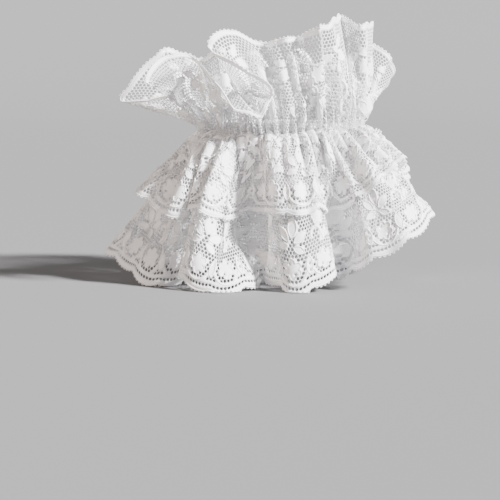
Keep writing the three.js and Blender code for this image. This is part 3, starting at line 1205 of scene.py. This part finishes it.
# %% A tree that turns paths into cord
def cord_tree(name):
    """Paths in, closed cord out, by its radius and the sides of its section."""
    tree = bpy.data.node_groups.new(name, "GeometryNodeTree")
    socket = tree.interface.new_socket
    socket("Paths", in_out="INPUT", socket_type="NodeSocketGeometry")
    socket("Radius", in_out="INPUT", socket_type="NodeSocketFloat")
    socket("Sides", in_out="INPUT", socket_type="NodeSocketInt")
    socket("Material", in_out="INPUT", socket_type="NodeSocketMaterial")
    socket("Cord", in_out="OUTPUT", socket_type="NodeSocketGeometry")
    nodes, links = tree.nodes, tree.links
    given, made = nodes.new("NodeGroupInput"), nodes.new("NodeGroupOutput")
    curve = nodes.new("GeometryNodeMeshToCurve")
    ring = nodes.new("GeometryNodeCurvePrimitiveCircle")
    sweep = nodes.new("GeometryNodeCurveToMesh")
    sweep.inputs["Fill Caps"].default_value = True
    smooth = nodes.new("GeometryNodeSetShadeSmooth")
    real = nodes.new("GeometryNodeRealizeInstances")
    paint = nodes.new("GeometryNodeSetMaterial")
    links.new(given.outputs["Paths"], curve.inputs["Mesh"])
    links.new(given.outputs["Sides"], ring.inputs["Resolution"])
    links.new(given.outputs["Radius"], ring.inputs["Radius"])
    links.new(curve.outputs["Curve"], sweep.inputs["Curve"])
    links.new(ring.outputs["Curve"], sweep.inputs["Profile Curve"])
    links.new(sweep.outputs["Mesh"], smooth.inputs["Geometry"])
    links.new(smooth.outputs["Geometry"], real.inputs["Geometry"])
    links.new(real.outputs["Geometry"], paint.inputs["Geometry"])
    links.new(given.outputs["Material"], paint.inputs["Material"])
    links.new(paint.outputs["Geometry"], made.inputs["Cord"])
    return tree


cord_maker = cord_tree("cord maker")
print("nodes in the cord maker", len(cord_maker.nodes))

# %% [markdown]
# ## Running a tree
# A tree runs as a modifier on an object that holds only the paths or points. Its values
# are set by each socket's identifier. The evaluated result is then made a plain mesh
# object, and the seed object goes, so that nothing live is left.

# %% Seeds and results
def linked_object(name, mesh):
    """An object for a mesh, in the scene."""
    made = bpy.data.objects.new(name, mesh)
    bpy.context.scene.collection.objects.link(made)
    return made


def paths_object(name, paths):
    """Loose edges along each path: a list of (points, whether it closes)."""
    points, edges, start = [], [], 0
    for line, closed in paths:
        steps = np.arange(start, start + len(line))
        pairs = np.stack([steps, np.roll(steps, -1)], 1)
        edges.append(pairs if closed else pairs[:-1])
        points.append(line)
        start += len(line)
    points = (np.concatenate(points) + [axis_x, axis_y, 0]) * MM
    mesh = bpy.data.meshes.new(name)
    mesh.from_pydata(points.tolist(), np.concatenate(edges).tolist(), [])
    return linked_object(name, mesh)


def grown(name, seed_object, tree, values):
    """The tree run over an object, as a plain mesh object in its place."""
    modifier = seed_object.modifiers.new("grow", "NODES")
    modifier.node_group = tree
    for item in tree.interface.items_tree:
        if item.in_out == "INPUT" and item.name in values:
            modifier[item.identifier] = values[item.name]
    bpy.context.view_layer.update()
    graph = bpy.context.evaluated_depsgraph_get()
    mesh = bpy.data.meshes.new_from_object(seed_object.evaluated_get(graph))
    bpy.data.objects.remove(seed_object)
    mesh.name = name
    print(name, "faces", len(mesh.polygons))
    return linked_object(name, mesh)


# %% Cords round the motifs
MOTIF_CORD = {"Radius": 0.23 * MM, "Sides": 4, "Material": cord_white}
CORD_OFF = 0.22
CORD_LOWEST = 0.4
CLEAR_OF_SEAM = 2


def on_cloth(cloth, pattern, u, h, off, lowest):
    """Points of the flat strip laid on the cloth, none of them under lowest."""
    laid = cloth.at(u, cloth.depth - h - pattern.notch(u, h), off)
    laid[:, 2] = np.maximum(laid[:, 2], lowest)
    return laid


def motif_paths(cloth, pattern):
    """Every motif's outline, laid on the outer face of the cloth in each repeat."""
    paths = []
    for spot in pattern.spots:
        _, outline, closes = MOTIFS[spot["kind"]]
        a, h = outline(spot).T
        if h.max() > cloth.depth - CLEAR_OF_SEAM:
            continue
        for repeat in range(pattern.repeats):
            u = a + (repeat + 0.5) * pattern.period
            paths.append((on_cloth(cloth, pattern, u, h, CORD_OFF, CORD_LOWEST), closes))
    return paths


cords = {}
for word, cloth in clothes.items():
    seed = paths_object(f"{word} outlines", motif_paths(cloth, patterns[word]))
    cords[word] = grown(f"{word}_motif_cord", seed, cord_maker, MOTIF_CORD)

# %% Cord along each hem
EDGE_CORD = {"Radius": 0.36 * MM, "Sides": 6, "Material": cord_white}
EDGE_STEP, EDGE_HIGH = 0.9, 0.1

edges = {}
for word, cloth in clothes.items():
    count = round(cloth.length / EDGE_STEP)
    u = np.arange(count) / count * cloth.length
    h = np.full(count, EDGE_HIGH)
    hem = on_cloth(cloth, patterns[word], u, h, 0.0, CORD_LOWEST)
    seed = paths_object(f"{word} hem", [(hem, True)])
    edges[word] = grown(f"{word}_edge_cord", seed, cord_maker, EDGE_CORD)

# %% [markdown]
# ## Picots
# Small loops of thread stand along every hem, one for each few stitches of the machine.
# One loop is swept once and set on points along the hem. Each point carries two
# directions of the cloth there, so that its loop can be turned to lie in the cloth.

# %% A tree that sets a loop on every point
def picot_tree(name):
    """Points in, loops out, by their width, length and thread."""
    tree = bpy.data.node_groups.new(name, "GeometryNodeTree")
    socket = tree.interface.new_socket
    socket("Points", in_out="INPUT", socket_type="NodeSocketGeometry")
    socket("Wide", in_out="INPUT", socket_type="NodeSocketFloat")
    socket("Long", in_out="INPUT", socket_type="NodeSocketFloat")
    socket("Thread", in_out="INPUT", socket_type="NodeSocketFloat")
    socket("Material", in_out="INPUT", socket_type="NodeSocketMaterial")
    socket("Picots", in_out="OUTPUT", socket_type="NodeSocketGeometry")
    nodes, links = tree.nodes, tree.links
    given, made = nodes.new("NodeGroupInput"), nodes.new("NodeGroupOutput")
    loop = nodes.new("GeometryNodeCurvePrimitiveCircle")
    loop.inputs["Resolution"].default_value = 8
    loop.inputs["Radius"].default_value = 1.0
    shape = nodes.new("ShaderNodeCombineXYZ")
    oval_loop = nodes.new("GeometryNodeTransform")
    thread = nodes.new("GeometryNodeCurvePrimitiveCircle")
    thread.inputs["Resolution"].default_value = 4
    sweep = nodes.new("GeometryNodeCurveToMesh")
    face, hang = (nodes.new("FunctionNodeAlignRotationToVector") for _ in range(2))
    face.axis, hang.axis, hang.pivot_axis = "Z", "Y", "Z"
    outward, downward = (nodes.new("GeometryNodeInputNamedAttribute") for _ in range(2))
    for node, word in ((outward, "cloth_out"), (downward, "cloth_down")):
        node.data_type = "FLOAT_VECTOR"
        node.inputs["Name"].default_value = word
    place = nodes.new("GeometryNodeInstanceOnPoints")
    smooth = nodes.new("GeometryNodeSetShadeSmooth")
    real = nodes.new("GeometryNodeRealizeInstances")
    paint = nodes.new("GeometryNodeSetMaterial")
    links.new(given.outputs["Wide"], shape.inputs["X"])
    links.new(given.outputs["Long"], shape.inputs["Y"])
    shape.inputs["Z"].default_value = 1.0
    links.new(loop.outputs["Curve"], oval_loop.inputs["Geometry"])
    links.new(shape.outputs["Vector"], oval_loop.inputs["Scale"])
    links.new(oval_loop.outputs["Geometry"], sweep.inputs["Curve"])
    links.new(given.outputs["Thread"], thread.inputs["Radius"])
    links.new(thread.outputs["Curve"], sweep.inputs["Profile Curve"])
    links.new(outward.outputs["Attribute"], face.inputs["Vector"])
    links.new(face.outputs["Rotation"], hang.inputs["Rotation"])
    links.new(downward.outputs["Attribute"], hang.inputs["Vector"])
    links.new(given.outputs["Points"], place.inputs["Points"])
    links.new(sweep.outputs["Mesh"], place.inputs["Instance"])
    links.new(hang.outputs["Rotation"], place.inputs["Rotation"])
    links.new(place.outputs["Instances"], smooth.inputs["Geometry"])
    links.new(smooth.outputs["Geometry"], real.inputs["Geometry"])
    links.new(real.outputs["Geometry"], paint.inputs["Geometry"])
    links.new(given.outputs["Material"], paint.inputs["Material"])
    links.new(paint.outputs["Geometry"], made.inputs["Picots"])
    return tree


picot_maker = picot_tree("picot maker")
print("nodes in the picot maker", len(picot_maker.nodes))

# %% Loops along each hem
PICOT = {"Wide": 0.62 * MM, "Long": 0.75 * MM, "Thread": 0.17 * MM, "Material": cord_white}
PICOT_STEP = 2.1
PICOT_LOWEST = 0.95


def picot_points(name, cloth, pattern):
    """Points along the hem, with the cloth's own two directions at each."""
    count = round(cloth.length / PICOT_STEP)
    u = np.arange(count) / count * cloth.length
    v = cloth.depth - pattern.notch(u, 0 * u)
    points = cloth.at(u, v)
    out, down = cloth.facing(u, v), points - cloth.at(u, v - 1)
    points[:, 2] = np.maximum(points[:, 2], PICOT_LOWEST)
    mesh = bpy.data.meshes.new(name)
    mesh.from_pydata(((points + [axis_x, axis_y, 0]) * MM).tolist(), [], [])
    for word, vectors in (("cloth_out", out), ("cloth_down", down)):
        layer = mesh.attributes.new(word, "FLOAT_VECTOR", "POINT")
        layer.data.foreach_set("vector", vectors.astype(np.float32).ravel())
    return linked_object(name, mesh)


picots = {}
for word, cloth in clothes.items():
    seed = picot_points(f"{word} picot points", cloth, patterns[word])
    picots[word] = grown(f"{word}_picots", seed, picot_maker, PICOT)

# %% [markdown]
# ## Gathering thread
# A zigzag of thread through the heads of the two lower strips holds them on the elastic.
# Here it has one stitch for each side of a small pleat, as if it drew the pleats up.

# %% Zigzag
STITCH = {"Radius": 0.17 * MM, "Sides": 5, "Material": stitch_white}
STITCHES = 2 * PLEATS["small"][0]
STITCH_TOP, STITCH_BOTTOM, STITCH_OFF = 0.6, 2.8, 0.4
u = np.arange(STITCHES) / STITCHES * short_cloth.length
v = np.where(np.arange(STITCHES) % 2, STITCH_TOP, STITCH_BOTTOM)
zigzag = paths_object("stitch line", [(short_cloth.at(u, v, STITCH_OFF), True)])
stitches = grown("gathering_stitches", zigzag, cord_maker, STITCH)

# %% [markdown]
# ## The elastic
# It shows when one looks down into the hole. Such a band holds rubber threads that run
# round it. The yarn across them stands as fine upright ribs, with a rolled edge above
# and below. It is made as rings of points up the outside and down the inside, in and
# out from rib to rib.

# %% Ribbed band
RIBS, STEPS_A_RIB, RIB_HIGH = 132, 6, 0.16
BAND_HIGH = 8
BAND_ROWS = [
    # height in a band that is BAND_HIGH, swell, how much of the ribs shows
    (0.0, -0.3, 0.0),
    (0.35, 0.0, 0.0),
    (0.9, 0.05, 0.0),
    (1.4, -0.12, 0.6),
    (2.2, 0.0, 1.0),
    (5.8, 0.0, 1.0),
    (6.6, -0.12, 0.6),
    (7.1, 0.05, 0.0),
    (7.65, 0.0, 0.0),
    (8.0, -0.3, 0.0),
]


def elastic_band():
    """The band as one closed ring, its ribs on both faces."""
    count = RIBS * STEPS_A_RIB
    t = np.arange(count) / count * 2 * np.pi
    rib = RIB_HIGH * np.abs(np.sin(RIBS / 2 * t))
    low, high = elastic_low.z / MM, elastic_high.z / MM
    faces_of_band = [(1, ELASTIC_THICK - RIB_HIGH, BAND_ROWS), (-1, RIB_HIGH, BAND_ROWS[::-1])]
    rings = []
    for side, face, table in faces_of_band:
        for height, swell, ribbed in table:
            out = face + side * (swell + ribbed * rib)
            ring = oval(t, 0, low + height / BAND_HIGH * (high - low))
            rings.append(ring + way_out(t) * out[:, None])
    rows = len(rings)
    i, k = np.meshgrid(np.arange(count), np.arange(rows), indexing="ij")
    after, above = (i + 1) % count, (k + 1) % rows
    a, b, c, d = k * count + i, k * count + after, above * count + after, above * count + i
    faces = np.concatenate([np.stack([a, b, c], -1), np.stack([a, c, d], -1)])
    return mesh_object("elastic_band", np.concatenate(rings), faces.reshape(-1, 3))


band = elastic_band()
band.data.materials.append(elastic_yarn)
print("elastic triangles", len(band.data.polygons))

# %% [markdown]
# ## Who stands for what
# Every piece rides on the one body. The lace stands for the plain solids, which are
# hidden.

# %% Ride and replace
owners = {}
for word in clothes:
    pieces = [piece for piece, area in laces[word]]
    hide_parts(f"{word}_ruffle")
    owners[f"{word}_lace"] = pieces + [cords[word], edges[word], picots[word]]
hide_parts("wrist_elastic")
owners["elastic"] = [band, stitches]
for name, pieces in owners.items():
    for piece in pieces:
        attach(piece, "root")
    print(name, "pieces", len(pieces))

# %% [markdown]
# ## The floor
# White lace needs a ground a little darker than itself, or its edges are lost. The
# floor is a pale grey sweep that curves up behind, so that no edge of it shows.

# %% Pale floor
FLOOR_HALF, CURVE_STARTS, CURVE_RADIUS, WALL_TOP = 10, 1.6, 0.8, 3.0


def pale_floor():
    """A sweep of floor and wall, in metres, with a quarter circle between them."""
    profile = [(-FLOOR_HALF, 0.0), (CURVE_STARTS, 0.0)]
    for angle in np.radians(np.arange(10, 91, 10)):
        behind = CURVE_STARTS + CURVE_RADIUS * math.sin(angle)
        profile.append((behind, CURVE_RADIUS - CURVE_RADIUS * math.cos(angle)))
    profile.append((CURVE_STARTS + CURVE_RADIUS, WALL_TOP))
    points = [(x, y, z) for x in (-FLOOR_HALF, FLOOR_HALF) for y, z in profile]
    n = len(profile)
    faces = [(n + k, n + k + 1, k + 1, k) for k in range(n - 1)]
    mesh = bpy.data.meshes.new("floor")
    mesh.from_pydata(points, [], faces)
    mesh.polygons.foreach_set("use_smooth", [True] * len(faces))
    material = bpy.data.materials.new("pale floor")
    material.use_nodes = True
    bsdf = material.node_tree.nodes["Principled BSDF"]
    bsdf.inputs["Base Color"].default_value = (0.15, 0.15, 0.155, 1)
    bsdf.inputs["Roughness"].default_value = 0.9
    mesh.materials.append(material)
    return linked_object("floor", mesh)


floor = pale_floor()
print("floor faces", len(floor.data.polygons))

# %% [markdown]
# ## Light
# The key light is a sun from the right, in front and above. It rakes across the cloth,
# so that every pleat and cord has a bright and a shaded side, and its wide angle keeps
# the shadows soft. A weaker warm light on the left and a faint cool surround lift the
# shade. Places of lights are in metres.

# %% Key, fill and surround
KEY_POWER, KEY_ANGLE, KEY_WAY = 20.5, 6, (-0.74, 0.38, -0.58)
FILL_AT, FILL_AIM, FILL_SIZE, FILL_POWER = (-0.8, -0.5, 0.4), (0, 0, 0.06), 0.7, 6.6
FILL_WARM, SURROUND_COOL, SURROUND_POWER = (1.0, 0.78, 0.6), (0.86, 0.9, 1.0), 0.28


def lamp(name, kind, power, colour, way):
    """A light of one kind that shines along way."""
    light = bpy.data.lights.new(name, kind)
    light.energy, light.color = power, colour
    made = linked_object(name, light)
    made.rotation_euler = Vector(way).to_track_quat("-Z", "Y").to_euler()
    return made


key = lamp("key", "SUN", KEY_POWER, (1.0, 0.99, 0.99), KEY_WAY)
key.data.angle = math.radians(KEY_ANGLE)
fill = lamp("fill", "AREA", FILL_POWER, FILL_WARM, Vector(FILL_AIM) - Vector(FILL_AT))
fill.data.size = FILL_SIZE
fill.location = FILL_AT
world = bpy.data.worlds.new("studio")
world.use_nodes = True
surround = world.node_tree.nodes["Background"]
surround.inputs["Color"].default_value = (*SURROUND_COOL, 1)
surround.inputs["Strength"].default_value = SURROUND_POWER
bpy.context.scene.world = world
print("lights", key.name, "and", fill.name)
